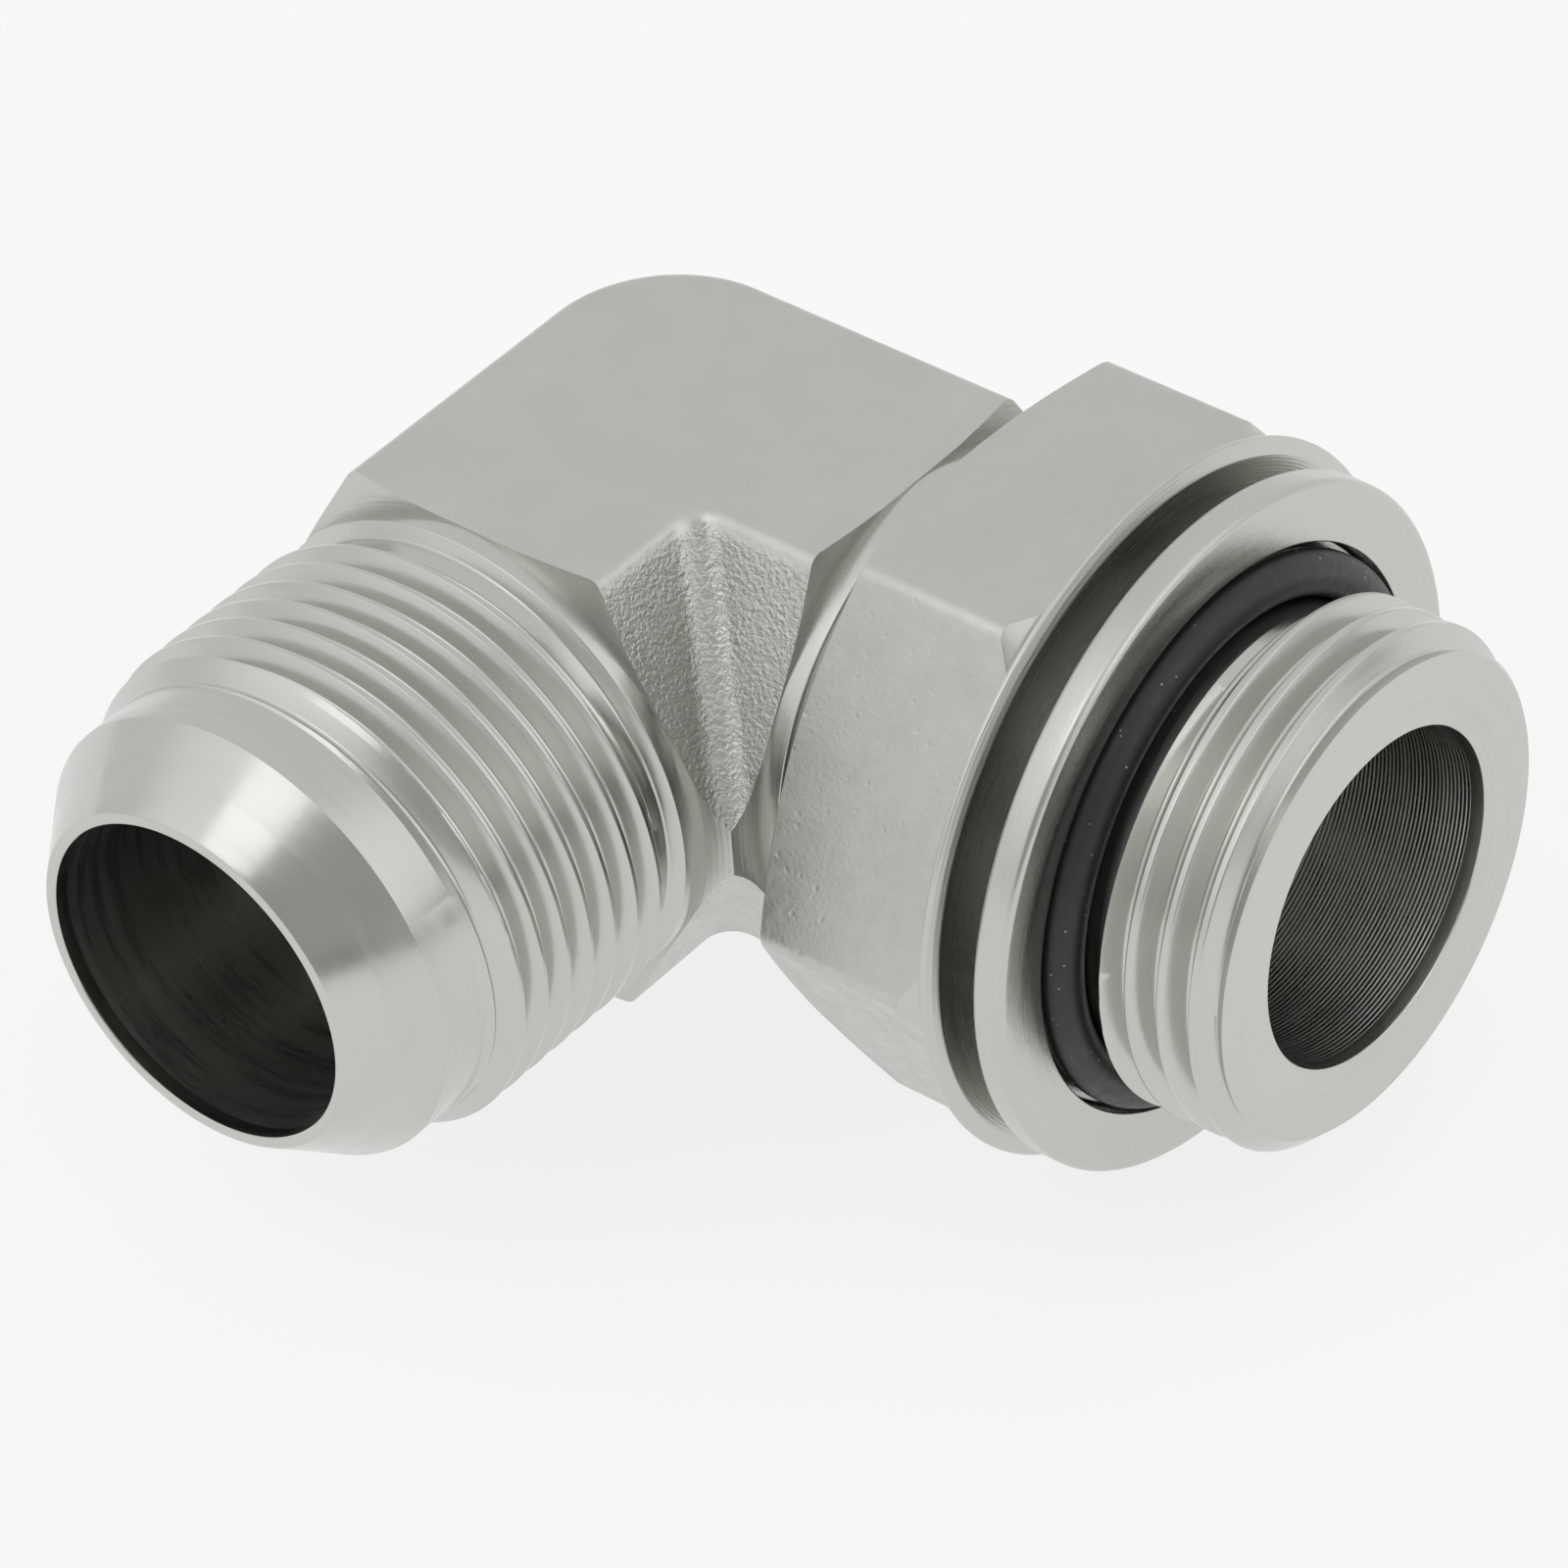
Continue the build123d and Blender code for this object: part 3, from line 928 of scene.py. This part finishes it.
tree.links.new(grey, tree.nodes["Background"].inputs["Color"])
print("tent glows from", tent_level, "to", round(tent_level + left_gain + right_gain, 2))

# %% Floor
floor_gap = 0.02
floor_size = 4
floor_grey = 0.8
floor_glow_share = 0.8

floor_level = -flange_radius - floor_gap
bpy.ops.mesh.primitive_plane_add(size=floor_size, location=(0, 0, floor_level * MM))
floor = bpy.context.object
floor.name = "floor"
floor_white = bpy.data.materials.new("floor_white")
floor_white.use_nodes = True
tree = floor_white.node_tree
shader = tree.nodes["Principled BSDF"]
shader.inputs["Base Color"].default_value = (floor_grey, floor_grey, floor_grey, 1)
shader.inputs["Roughness"].default_value = 0.9
glow = place(tree, "ShaderNodeEmission", {"Color": (1, 1, 1, 1), "Strength": 1.0}).outputs[0]
path = place(tree, "ShaderNodeLightPath")
seen = calculate(tree, "MAXIMUM", path.outputs["Is Camera Ray"], path.outputs["Is Glossy Ray"])
seen = calculate(tree, "MAXIMUM", seen, path.outputs["Is Transmission Ray"])
glow_share = calculate(tree, "MULTIPLY", seen, floor_glow_share)
floor_mix = {0: glow_share, 1: shader.outputs[0], 2: glow}
mixed = place(tree, "ShaderNodeMixShader", floor_mix).outputs[0]
tree.links.new(mixed, tree.nodes["Material Output"].inputs["Surface"])
floor.data.materials.append(floor_white)
print("floor lies at", round(floor_level, 2), "mm")

# %% Lamps
lamp_distance = 0.9


def area_lamp(name, azimuth_degrees, elevation_degrees, size, power):
    """A square soft lamp in metres and watts, at lamp_distance, turned to the object."""
    data = bpy.data.lights.new(name, "AREA")
    data.shape = "SQUARE"
    data.size = size
    data.energy = power
    lamp = bpy.data.objects.new(name, data)
    scene.collection.objects.link(lamp)
    lamp.location = Vector(lamp_distance * from_angles(azimuth_degrees, elevation_degrees))
    lamp.rotation_euler = (-lamp.location).to_track_quat("-Z", "Y").to_euler()
    print(name, "gives", power, "W")


area_lamp("left_softbox", -7, 55, size=0.42, power=0.3)
area_lamp("right_softbox", 92, 33, size=0.3, power=0.08)
